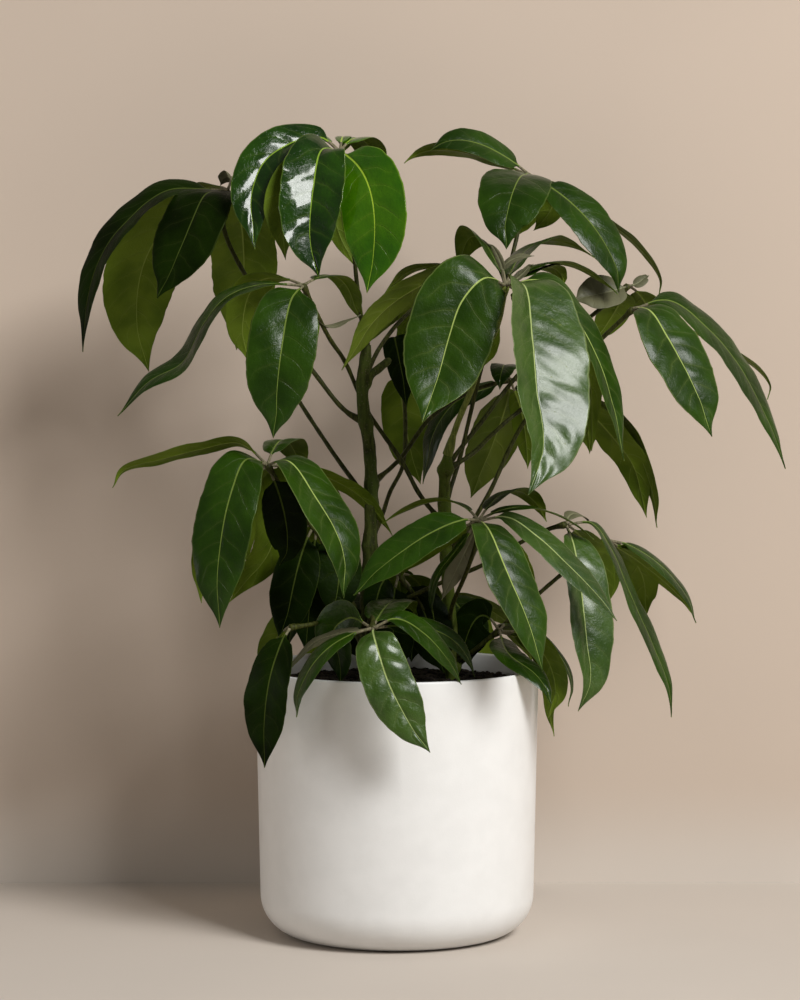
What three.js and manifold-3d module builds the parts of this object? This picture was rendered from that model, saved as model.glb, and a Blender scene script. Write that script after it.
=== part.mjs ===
// Umbrella plant (a large-leaved Schefflera) in a smooth round pot.
// Millimetres, +Z up. The origin is the centre of the pot's flat underside, +X is the
// plant's right and -Y its front. Each compound leaf is a petiole that ends in a small
// round hub, and long leaflets that hang from the hub like the ribs of an umbrella.

import * as THREE from "three";
import { mergeVertices } from "three/addons/utils/BufferGeometryUtils.js";
import Module from "manifold-3d";

const wasm = await Module();
wasm.setup();

// Driving dimensions.
const gap = 0.3; // running gap between pieces that touch on the real plant

const pot = {
  height: 266,
  rimRadius: 140,
  shoulderRadius: 135.5, // outside, where the wall meets the rounded bottom edge
  bottomEdge: 40, // radius of the rounded bottom edge
  wall: 4,
  floor: 5,
};
const roundSides = 40; // flats around the pot and the soil

const soil = { top: 250, crown: 4 }; // height of the surface, and how far its middle is domed

const arcSteps = 2; // half the number of flats in each rounded part of a turned profile
const weldDistance = 1e-3; // corners nearer than this become one corner

const stemSides = 8;
const petioleSides = 6;
const petioleRadius = 2.5;
const tubeSteps = 7;

const hubRadius = 4.5;
// The petiolule between the hub and a blade. It starts at a share of the midrib's length.
const stalk = { length: 16, thickness: 3, start: 0.01 };
const bladeThickness = 1.4;
const bladeFold = 0.1; // rise of the blade's edges over its midrib, per unit of half width

// Outline of a blade: how far along it, and its width there as a share of the widest.
const bladeOutline = [
  [0, 0.1],
  [0.07, 0.5],
  [0.2, 0.87],
  [0.4, 1],
  [0.62, 0.93],
  [0.79, 0.65],
  [0.91, 0.22],
];

// Each stem's centre line, from inside the soil upwards.
const stems = {
  left: {
    radius: 6.8,
    path: [
      [-31, 0, 200],
      [-30, 0, 300],
      [-27, 0, 380],
      [-25, 0, 440],
      [-28, 0, 490],
      [-34, 0, 530],
      [-30, 0, 583],
    ],
  },
  right: {
    radius: 6.3,
    path: [
      [56, 20, 200],
      [54, 18, 290],
      [48, 9, 390],
      [47, 2, 450],
      [50, 0, 475],
    ],
  },
};

// The compound leaves. A petiole runs from its stem's centre line to its hub. A leaflet's
// midrib leaves the hub, passes through the points given and ends at its tip, and face is
// the direction in which its glossy upper side looks half way along. A lean widens one half
// of the blade by that share, and narrows the other half by as much.
const leaves = [
  {
    name: "high_left",
    stem: "left",
    petiole: [
      [-33, 0, 507], [-52, 5, 519], [-83, 12, 557], [-146, 32, 644], [-172, 40, 700], [-168, 40, 735],
    ],
    leaflets: [
      {
        through: [[-229, 34, 734], [-271, 24, 700], [-291, 18, 672], [-306, 12, 622]],
        tip: [-306, 10, 577],
        width: 44,
        face: [-1.6, -1.3, 1],
      },
      { through: [[-252, 100, 672]], tip: [-259, 145, 553], width: 78, face: [-0.8, 2.4, 0.6] },
      {
        through: [[-188, 5, 730], [-202, -10, 700], [-219, -22, 659]],
        tip: [-231, -28, 630],
        width: 76,
        face: [-1.6, -2.4, 0.1],
      },
      { through: [[-155, 95, 686]], tip: [-162, 150, 575], width: 68, face: [0.3, 2, 0.5] },
    ],
  },
  {
    name: "mid_left",
    stem: "right",
    petiole: [
      [47, 7, 405], [23, 12, 434], [5, 16, 467], [-29, 19, 517], [-51, 2, 566], [-65, -30, 589],
      [-76, -50, 611], [-90, -70, 642],
    ],
    leaflets: [
      {
        through: [[-130, -74, 643], [-162, -75, 632], [-185, -73, 607], [-207, -69, 568], [-240, -64, 549]],
        tip: [-271, -60, 517],
        width: 36,
        face: [-0.6, -0.5, 1],
      },
      {
        through: [[-101, -95, 628], [-109, -115, 586], [-114, -121, 539]],
        tip: [-114, -120, 499],
        width: 66,
        face: [0, -3, 0.6],
      },
      { through: [[-140, -30, 640]], tip: [-151, 0, 567], width: 40, face: [-1, 2, 0.7] },
    ],
  },
  {
    name: "top",
    stem: "left",
    petiole: [[-30, 0, 583], [-34, 0, 603], [-39, 0, 640], [-44, 0, 690], [-56, 0, 772]],
    leaflets: [
      {
        through: [[-75, 8, 786], [-102, -3, 781], [-129, -16, 762], [-141, -29, 731], [-140, -38, 703]],
        tip: [-133, -42, 678],
        width: 46,
        face: [-0.6, -3, 1],
      },
      {
        through: [[-73, -25, 773], [-81, -48, 734], [-84, -58, 691]],
        tip: [-78, -62, 651],
        width: 62,
        face: [-0.2, -3, 1],
      },
      {
        through: [[-79, -16, 760], [-101, -35, 747], [-113, -38, 718]],
        tip: [-104, -37, 668],
        width: 36,
        face: [-0.5, 2.4, 0.4],
      },
      { through: [[-24, -48, 726]], tip: [-28, -52, 636], width: 66, face: [-0.7, -3, 0] },
    ],
  },
  {
    name: "high_right",
    stem: "right",
    petiole: [[47, 5, 425], [60, 22, 462], [84, 32, 560], [107, 42, 640], [125, 66, 712], [134, 78, 750]],
    leaflets: [
      { through: [[77, 60, 783]], tip: [34, 55, 776], width: 34, face: [-0.5, -1.9, 1.8] },
      { through: [[116, 10, 738]], tip: [102, -20, 678], width: 68, face: [-0.4, -3, 0.8] },
      { through: [[193, 60, 703]], tip: [226, 50, 635], width: 50, face: [1.2, -2, 1] },
    ],
  },
  {
    name: "crown",
    stem: "right",
    petiole: [[50, 0, 475], [59, -8, 505], [73, -18, 540], [85, -30, 576], [97, -42, 601], [105, -60, 642]],
    leaflets: [
      {
        through: [[83, -92, 649], [62, -102, 627], [50, -108, 594], [39, -119, 555]],
        tip: [24, -142, 515],
        width: 84,
        face: [-0.1, -3, 0.8],
      },
      {
        through: [[122, -88, 642], [128, -122, 596], [132, -145, 544], [137, -166, 488]],
        tip: [119, -182, 449],
        width: 82,
        face: [1.7, -3, 1.2],
        lean: 0.28,
      },
      {
        through: [[143, -64, 646], [171, -62, 613], [194, -58, 572], [208, -54, 531]],
        tip: [223, -50, 473],
        width: 38,
        face: [2.4, -1.8, 1],
      },
      {
        through: [[61, -45, 655], [8, -30, 633], [-26, -22, 603]],
        tip: [-50, -20, 560],
        width: 44,
        face: [-0.5, 1.2, 1.6],
      },
    ],
  },
  {
    name: "far_right",
    stem: "right",
    petiole: [
      [48, 10, 372], [70, 15, 400], [91, 20, 435], [124, 30, 502], [162, 25, 548], [205, 10, 592],
      [231, -10, 618],
    ],
    leaflets: [
      {
        through: [[245, -28, 618], [262, -42, 593], [284, -55, 551]],
        tip: [308, -60, 497],
        width: 64,
        face: [1.8, -2.8, 0.5],
      },
      {
        through: [[266, -5, 627], [303, 8, 602], [337, 14, 563], [367, 18, 508]],
        tip: [386, 20, 461],
        width: 44,
        face: [1.2, -0.9, 1],
      },
    ],
  },
  {
    name: "low_left",
    stem: "left",
    petiole: [[-29, 0, 341], [-48, -10, 363], [-80, -40, 403], [-113, -62, 449], [-125, -70, 469]],
    leaflets: [
      {
        through: [[-152, -62, 490], [-191, -60, 484], [-230, -58, 474], [-264, -54, 464]],
        tip: [-279, -50, 447],
        width: 32,
        face: [-0.3, 1, 2],
      },
      {
        through: [[-145, -95, 475], [-160, -112, 438], [-170, -119, 381]],
        tip: [-172, -118, 317],
        width: 58,
        face: [-0.8, -3, 0.5],
      },
      {
        through: [[-105, -85, 474], [-77, -108, 439], [-54, -120, 398]],
        tip: [-46, -125, 347],
        width: 56,
        face: [3.1, -3, 1.2],
      },
      {
        through: [[-118, -24, 448], [-126, -6, 380]],
        tip: [-169, -10, 331],
        width: 42,
        face: [-0.5, 1, 1],
      },
    ],
  },
  {
    name: "centre",
    stem: "right",
    petiole: [[54, 18, 290], [53, -20, 322], [68, -70, 367], [77, -100, 400], [78, -110, 418]],
    leaflets: [
      { through: [[31, -140, 408]], tip: [-44, -150, 352], width: 44, face: [-0.6, -1.9, 1.8] },
      {
        through: [[87, -135, 412], [106, -158, 368], [123, -168, 329]],
        tip: [137, -172, 282],
        width: 54,
        face: [2.3, -3, 0.8],
      },
      {
        through: [[106, -108, 421], [132, -118, 405], [160, -124, 380], [191, -126, 348]],
        tip: [210, -125, 325],
        width: 36,
        face: [0.8, -1.3, 1.6],
      },
    ],
  },
  {
    name: "low_right",
    stem: "left",
    petiole: [
      [-29, 0, 318], [-10, -8, 325], [17, -18, 338], [53, -27, 355], [86, -35, 370], [120, -40, 391],
      [149, -42, 405], [165, -40, 409],
    ],
    leaflets: [
      {
        through: [[172, -62, 388], [178, -82, 348], [183, -94, 298], [186, -97, 263]],
        tip: [176, -97, 234],
        width: 50,
        face: [1.9, -3, 0.7],
        lean: 0.22,
      },
      {
        through: [[190, -38, 410], [207, -36, 389], [231, -34, 334], [253, -32, 285], [267, -30, 247]],
        tip: [267, -30, 220],
        width: 34,
        face: [2, -1, 1.2],
      },
    ],
  },
  {
    name: "low_right_rear",
    stem: "right",
    petiole: [[56, 20, 261], [74, 26, 276], [113, 30, 309], [148, 25, 341], [191, 15, 378], [207, 10, 390]],
    leaflets: [
      {
        through: [[231, 12, 384], [259, 12, 366], [283, 13, 340]],
        tip: [300, 15, 308],
        width: 28,
        face: [1, -0.8, 2],
      },
    ],
  },
  {
    name: "rim_front",
    stem: "left",
    petiole: [[-31, 0, 268], [-29, -40, 300], [-26, -90, 322], [-23, -130, 326], [-23, -150, 319]],
    leaflets: [
      {
        through: [[-20, -175, 309], [-8, -184, 272], [8, -187, 240]],
        tip: [28, -187, 207],
        width: 48,
        face: [0.2, -3, 0.8],
      },
      { through: [[-73, -160, 293]], tip: [-98, -165, 238], width: 30, face: [-1.5, -1, 1] },
      {
        through: [[0, -150, 328], [27, -140, 312], [47, -132, 289]],
        tip: [63, -128, 264],
        width: 32,
        face: [1, -1.4, 1.6],
      },
    ],
  },
  {
    name: "rim_left",
    stem: "left",
    petiole: [[-30, 0, 300], [-50, -45, 325], [-80, -100, 318], [-102, -115, 316]],
    leaflets: [
      {
        through: [[-111, -124, 300], [-123, -130, 258]],
        tip: [-129, -120, 183],
        width: 50,
        face: [-1.6, -2.2, -0.2],
      },
    ],
  },
  {
    name: "rim_right",
    stem: "right",
    petiole: [[55, 20, 266], [72, 7, 277], [90, 2, 292], [101, 0, 300]],
    leaflets: [
      {
        through: [[122, 10, 297], [147, 14, 275], [158, 14, 240]],
        tip: [149, 10, 214],
        width: 42,
        face: [1.6, 1.6, 1],
      },
      {
        through: [[110, -60, 283], [134, -75, 266]],
        tip: [153, -85, 240],
        width: 32,
        face: [0.8, -1.5, 1.8],
      },
    ],
  },
  {
    name: "inner_rear",
    stem: "left",
    petiole: [[-25, 0, 446], [3, 29, 469], [33, 50, 508], [73, 70, 534], [113, 80, 546]],
    leaflets: [
      {
        through: [[92, 98, 537], [59, 100, 522], [36, 100, 488]],
        tip: [30, 100, 441],
        width: 30,
        face: [-1, -1.2, 1.2],
      },
      { through: [[105, 120, 500]], tip: [74, 135, 424], width: 60, face: [-0.5, 1, 0.7] },
    ],
  },
  {
    name: "rear_right",
    stem: "right",
    petiole: [[47, 1, 458], [76, 20, 476], [94, 40, 492], [121, 60, 514], [164, 70, 541]],
    leaflets: [
      {
        through: [[197, 85, 511], [219, 95, 487], [241, 105, 456]],
        tip: [253, 110, 406],
        width: 42,
        face: [1, 1.5, 1],
      },
    ],
  },
  {
    name: "inner_left",
    stem: "left",
    petiole: [[-27, 0, 386], [-16, 30, 409], [-7, 60, 434], [6, 85, 460], [8, 110, 514], [3, 120, 562]],
    leaflets: [
      { through: [[6, 150, 512]], tip: [22, 165, 436], width: 46, face: [-0.3, 2, 0.5] },
    ],
  },
];

const materials = {
  pot: { color: 0xe9e6e0, roughness: 0.45, metalness: 0 },
  soil: { color: 0x1e1712, roughness: 0.95, metalness: 0 },
  stem: { color: 0x3d3b25, roughness: 0.7, metalness: 0 },
  petiole: { color: 0x39401f, roughness: 0.55, metalness: 0 },
  leaflet: { color: 0x1d4a1c, roughness: 0.3, metalness: 0 },
};

const vector = ([x, y, z]) => new THREE.Vector3(x, y, z);

// A closed mesh as a solid that can be joined and cut.
function solidOf(geometry) {
  const bare = geometry.clone();
  bare.deleteAttribute("normal");
  bare.deleteAttribute("uv");
  const merged = mergeVertices(bare, weldDistance);
  const corners = Array.from(merged.index.array);
  const triangles = [];
  for (let i = 0; i < corners.length; i += 3) {
    const [a, b, c] = corners.slice(i, i + 3);
    if (a !== b && b !== c && c !== a) triangles.push(a, b, c);
  }
  const vertProperties = new Float32Array(merged.attributes.position.array);
  const triVerts = new Uint32Array(triangles);
  return new wasm.Manifold(new wasm.Mesh({ numProp: 3, vertProperties, triVerts }));
}

function geometryOf(solid) {
  const mesh = solid.getMesh();
  const geometry = new THREE.BufferGeometry();
  geometry.setAttribute("position", new THREE.BufferAttribute(mesh.vertProperties, 3));
  geometry.setIndex(new THREE.BufferAttribute(mesh.triVerts, 1));
  geometry.computeVertexNormals();
  return geometry;
}

// A round bar along a smooth line through the given points.
function bar(points, radius, sides) {
  const corners = [];
  for (let i = 0; i < sides; i += 1) {
    const angle = (i / sides) * 2 * Math.PI;
    corners.push(new THREE.Vector2(radius * Math.cos(angle), radius * Math.sin(angle)));
  }
  const extrudePath = new THREE.CatmullRomCurve3(points);
  return solidOf(new THREE.ExtrudeGeometry(new THREE.Shape(corners), { extrudePath, steps: tubeSteps }));
}

// The same points, with both ends of the line moved outwards by a distance.
function lengthened(points, distance) {
  const longer = points.map((point) => point.clone());
  const last = longer.length - 1;
  const startDirection = points[0].clone().sub(points[1]).normalize();
  const endDirection = points[last].clone().sub(points[last - 1]).normalize();
  longer[0].addScaledVector(startDirection, distance);
  longer[last].addScaledVector(endDirection, distance);
  return longer;
}

// A body of revolution around Z from a path of radius and height.
function turned(path) {
  const geometry = new THREE.LatheGeometry(path.getPoints(arcSteps), roundSides);
  geometry.rotateX(Math.PI / 2);
  return solidOf(geometry);
}

function potBody() {
  const edgeCentre = pot.shoulderRadius - pot.bottomEdge;
  const lip = pot.wall / 2;
  const path = new THREE.Path();
  path.moveTo(0, 0);
  path.lineTo(edgeCentre, 0);
  path.absarc(edgeCentre, pot.bottomEdge, pot.bottomEdge, -Math.PI / 2, 0);
  path.lineTo(pot.rimRadius, pot.height - lip);
  path.absarc(pot.rimRadius - lip, pot.height - lip, lip, 0, Math.PI);
  const innerEdge = pot.bottomEdge - pot.wall;
  path.absarc(edgeCentre, pot.floor + innerEdge, innerEdge, 0, -Math.PI / 2, true);
  path.lineTo(0, pot.floor);
  return turned(path);
}

function soilBody(stemPieces) {
  const edgeCentre = pot.shoulderRadius - pot.bottomEdge;
  const edge = pot.bottomEdge - pot.wall - gap;
  const bottom = pot.floor + gap;
  const wallRise = (soil.top - pot.bottomEdge) / (pot.height - pot.bottomEdge);
  const wallRadius = pot.shoulderRadius + wallRise * (pot.rimRadius - pot.shoulderRadius);
  const topRadius = wallRadius - pot.wall - 2 * gap;
  const path = new THREE.Path();
  path.moveTo(0, bottom);
  path.lineTo(edgeCentre, bottom);
  path.absarc(edgeCentre, bottom + edge, edge, -Math.PI / 2, 0);
  path.lineTo(topRadius, soil.top);
  path.lineTo(0, soil.top + soil.crown);
  return stemPieces.reduce((body, stem) => body.subtract(stem.clearance), turned(path));
}

// A stem, and the slightly larger space that its neighbours leave free for it.
function stemPiece({ path, radius }) {
  const points = path.map(vector);
  const body = bar(points, radius, stemSides);
  const clearance = bar(lengthened(points, gap), radius + gap, stemSides);
  return { body, clearance };
}

function ball(centre, radius) {
  const geometry = new THREE.IcosahedronGeometry(radius, 1);
  geometry.translate(centre.x, centre.y, centre.z);
  return solidOf(geometry);
}

function petioleBody(leaf, carrier) {
  const points = leaf.petiole.map(vector);
  const hub = points[points.length - 1];
  return bar(points, petioleRadius, petioleSides).subtract(carrier.clearance).add(ball(hub, hubRadius));
}

// A closed body through four-cornered rings, ending in a point.
function loft(rings, point) {
  const positions = [...rings.flat(), point].flatMap((corner) => corner.toArray());
  const apex = rings.length * 4;
  const index = [0, 3, 2, 0, 2, 1];
  for (let ring = 0; ring < rings.length; ring += 1) {
    for (let side = 0; side < 4; side += 1) {
      const here = ring * 4 + side;
      const next = ring * 4 + ((side + 1) % 4);
      if (ring === rings.length - 1) {
        index.push(here, next, apex);
      } else {
        index.push(here, next, next + 4, here, next + 4, here + 4);
      }
    }
  }
  const geometry = new THREE.BufferGeometry();
  geometry.setAttribute("position", new THREE.Float32BufferAttribute(positions, 3));
  geometry.setIndex(index);
  return solidOf(geometry);
}

// A midrib with one point on its way is a plain arch, and one with more is a wavy line.
function midribCurve(hub, through, tip) {
  if (through.length > 1) return new THREE.CatmullRomCurve3([hub, ...through, tip]);
  const ends = hub.clone().add(tip).multiplyScalar(0.5);
  const control = through[0].clone().multiplyScalar(2).sub(ends);
  return new THREE.QuadraticBezierCurve3(hub, control, tip);
}

// One leaflet: its petiolule and its blade, cut clear of the hub.
function leafletBody(hub, { through, tip, width, face, lean = 0 }) {
  const tipPoint = vector(tip);
  const midrib = midribCurve(hub, through.map(vector), tipPoint);
  const middle = midrib.getTangentAt(0.5);
  const upperSide = vector(face).projectOnPlane(middle).normalize();

  const ring = (along, halfWidth, halfThickness, fold) => {
    const centre = midrib.getPointAt(along);
    const tangent = midrib.getTangentAt(along);
    const bend = new THREE.Quaternion().setFromUnitVectors(middle, tangent);
    const up = upperSide.clone().applyQuaternion(bend);
    const across = new THREE.Vector3().crossVectors(up, tangent);
    const edgeLift = up.clone().multiplyScalar(fold * halfWidth);
    return [
      centre.clone().addScaledVector(across, halfWidth * (1 + lean)).add(edgeLift),
      centre.clone().addScaledVector(up, halfThickness),
      centre.clone().addScaledVector(across, -halfWidth * (1 - lean)).add(edgeLift),
      centre.clone().addScaledVector(up, -halfThickness),
    ];
  };

  const bladeStart = stalk.length / midrib.getLength();
  const rings = [ring(stalk.start, stalk.thickness / 2, stalk.thickness / 2, 0)];
  for (const [along, share] of bladeOutline) {
    const position = bladeStart + (1 - bladeStart) * along;
    rings.push(ring(position, (share * width) / 2, bladeThickness / 2, bladeFold));
  }
  return loft(rings, tipPoint).subtract(ball(hub, hubRadius + gap));
}

const plant = new THREE.Group();

function addPiece(name, body, finish) {
  const mesh = new THREE.Mesh(geometryOf(body), new THREE.MeshStandardMaterial(materials[finish]));
  mesh.name = name;
  plant.add(mesh);
}

const stemPieces = { left: stemPiece(stems.left), right: stemPiece(stems.right) };
addPiece("pot", potBody(), "pot");
addPiece("soil", soilBody(Object.values(stemPieces)), "soil");
addPiece("stem_left", stemPieces.left.body, "stem");
addPiece("stem_right", stemPieces.right.body, "stem");

for (const leaf of leaves) {
  addPiece(`${leaf.name}_petiole`, petioleBody(leaf, stemPieces[leaf.stem]), "petiole");
  const hub = vector(leaf.petiole[leaf.petiole.length - 1]);
  leaf.leaflets.forEach((leaflet, i) => {
    addPiece(`${leaf.name}_leaflet_${i + 1}`, leafletBody(hub, leaflet), "leaflet");
  });
}

export default plant;
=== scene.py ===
"""The looks of a potted umbrella plant: leaflets, stalks, stems, soil, a white pot and a studio."""

import math
import random

import bpy
import numpy as np
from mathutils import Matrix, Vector, noise


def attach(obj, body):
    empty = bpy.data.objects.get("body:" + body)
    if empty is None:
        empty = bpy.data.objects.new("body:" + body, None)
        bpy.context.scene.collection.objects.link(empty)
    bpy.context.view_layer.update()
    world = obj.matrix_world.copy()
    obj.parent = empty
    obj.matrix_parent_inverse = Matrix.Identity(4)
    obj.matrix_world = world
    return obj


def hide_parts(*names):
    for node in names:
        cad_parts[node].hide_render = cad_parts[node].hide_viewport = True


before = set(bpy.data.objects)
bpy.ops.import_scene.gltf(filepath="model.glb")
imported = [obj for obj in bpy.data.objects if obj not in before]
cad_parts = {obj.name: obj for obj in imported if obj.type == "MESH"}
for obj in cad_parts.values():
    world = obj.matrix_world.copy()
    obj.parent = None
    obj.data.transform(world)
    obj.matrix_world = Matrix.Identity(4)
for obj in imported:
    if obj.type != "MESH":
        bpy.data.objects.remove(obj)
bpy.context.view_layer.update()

MM = 0.001  # shapes are in millimetres; materials, lights and the camera are in metres
FULL_TURN = 6.28  # radians, close enough for chance and for waves

# ----- Sizes -----

POT = {
    "height": 266,
    "rim_radius": 140,
    "shoulder_radius": 135.5,
    "bottom_edge": 40,
    "wall": 4,
    "floor": 5,
}
POT_SIDES = 192
POT_FLOOR_RINGS = (30, 60)  # radii of the rings of points on its flat floor
SOIL_TOP = 250
SOIL_CROWN = 4
SOIL_PLUG = 60  # how deep the soil goes down inside the pot, out of sight
SOIL_SIDES = 150
SOIL_CIRCLES = 52

BLADE_THICKNESS = 0.7
MIDRIB_RIDGE = 0.9  # how far the midrib stands out of a blade's underside
MIDRIB_GROOVE = 0.35  # how deep it lies in the glossy side
GROOVE_WIDTH = 1.1
RIDGE_WIDTH = 1.3
WIDEST_AT = 0.45  # about where a blade is widest, as a share of its length
HOOK_FROM = 0.84  # where a midrib's end starts to turn aside, as a share of its length
WAVE_SPACING = 70  # between the waves of a blade's edge
CUSHION_HEIGHT = 0.014  # of the cushions between side veins, as a share of the width
QUILTING = 0.7  # how much of that height most leaflets have
RAGGEDNESS = 0.035  # how far a blade's edge wanders, as a share of its half width
UNEVENNESS = 0.012  # height of a blade's broad bumps, as a share of its width
STALK_LENGTH = 16  # from the hub to the base of a blade
STALK_RADIUS = 1.35
HUB_RADIUS = 4.2
PETIOLE_RADIUS = 2.1
CROWN_PETIOLE_RADIUS = 2.8
VEIN_SPACING = 21  # between side veins, along the midrib
VEIN_SWEEP = 0.17  # how far side veins lean to the tip, as a share of the length
STEM_SWELLING = 14  # length of a petiole's swollen foot
HUB_SWELLING = 12  # and of its swollen end

# The range that a leaflet's shape is drawn from, where its own entry says nothing: its twist in
# degrees, and its fold, bulge and wave as shares of its half width.
USUAL = {"twist": (-8, 8), "fold": (0.10, 0.2), "bulge": (0.1, 0.18), "wave": (0.02, 0.05)}

# Outline of a blade: how far along it, and its width there as a share of the widest.
BLADE_OUTLINE = [
    (0, 0.05), (0.03, 0.34), (0.09, 0.62), (0.2, 0.87), (0.34, 0.985), (0.5, 1), (0.64, 0.92), (0.76, 0.72),
    (0.86, 0.42), (0.92, 0.2), (0.96, 0.09), (1, 0),
]

# How finely the meshes are divided.
ARCH_POINTS = 200
POINTS_PER_SPAN = 40
TUBE_STEP = 3.5
STALK_ROWS = 7
BLADE_ROWS = 60
BLADE_COLUMNS = 20
PETIOLE_SIDES = 14
STEM_SIDES = 24
TOP_FACE, UNDER_FACE, STALK_FACE = range(3)  # a leaflet's material slots

CAMERA_PLACE = (0.003, -3.5, 0.6766)
CAMERA_PITCH = 0.0703  # radians below the horizon
CAMERA_LENS = 128.1
CAMERA_SENSOR = 36
DAYLIGHT = (1.0, 0.995, 0.98)

# ----- The plant's layout -----


def blade(through, tip, width, face, tone="deep", modelled=True, **shape):
    """One leaflet: its midrib's way from the hub, its width and the way its glossy side looks."""
    where = {"through": through, "tip": tip, "width": width, "face": face}
    return {**where, "tone": tone, "modelled": modelled, **shape}


def extra(*where, **shape):
    """A leaflet that only the looks have, and the construction model doesn't."""
    return blade(*where, modelled=False, **shape)


def leaf(petiole_points, *blades):
    """A compound leaf: its petiole from the stem to the hub, and its leaflets."""
    return {"petiole": petiole_points, "blades": blades}


STEMS = {
    "left": {
        "node": "stem_left", "bark": "old", "seed": 4, "radius": 6.8,
        "path": [
            (-31, 0, 200), (-30, 0, 300), (-27, 0, 380), (-25, 0, 440), (-28, 0, 490), (-34, 0, 530),
            (-30, 0, 583),
        ],
    },
    "right": {
        "node": "stem_right", "bark": "green", "seed": 5, "radius": 6.3,
        "path": [(56, 20, 200), (54, 18, 290), (48, 9, 390), (47, 2, 450), (50, 0, 475)],
    },
    "stub": {
        "bark": "old", "seed": 4, "radius": 4.4,
        "path": [(-33, 0, 541), (-26, 3, 553), (-17, 11, 560), (-7, 20, 568)],
    },
}

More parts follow.
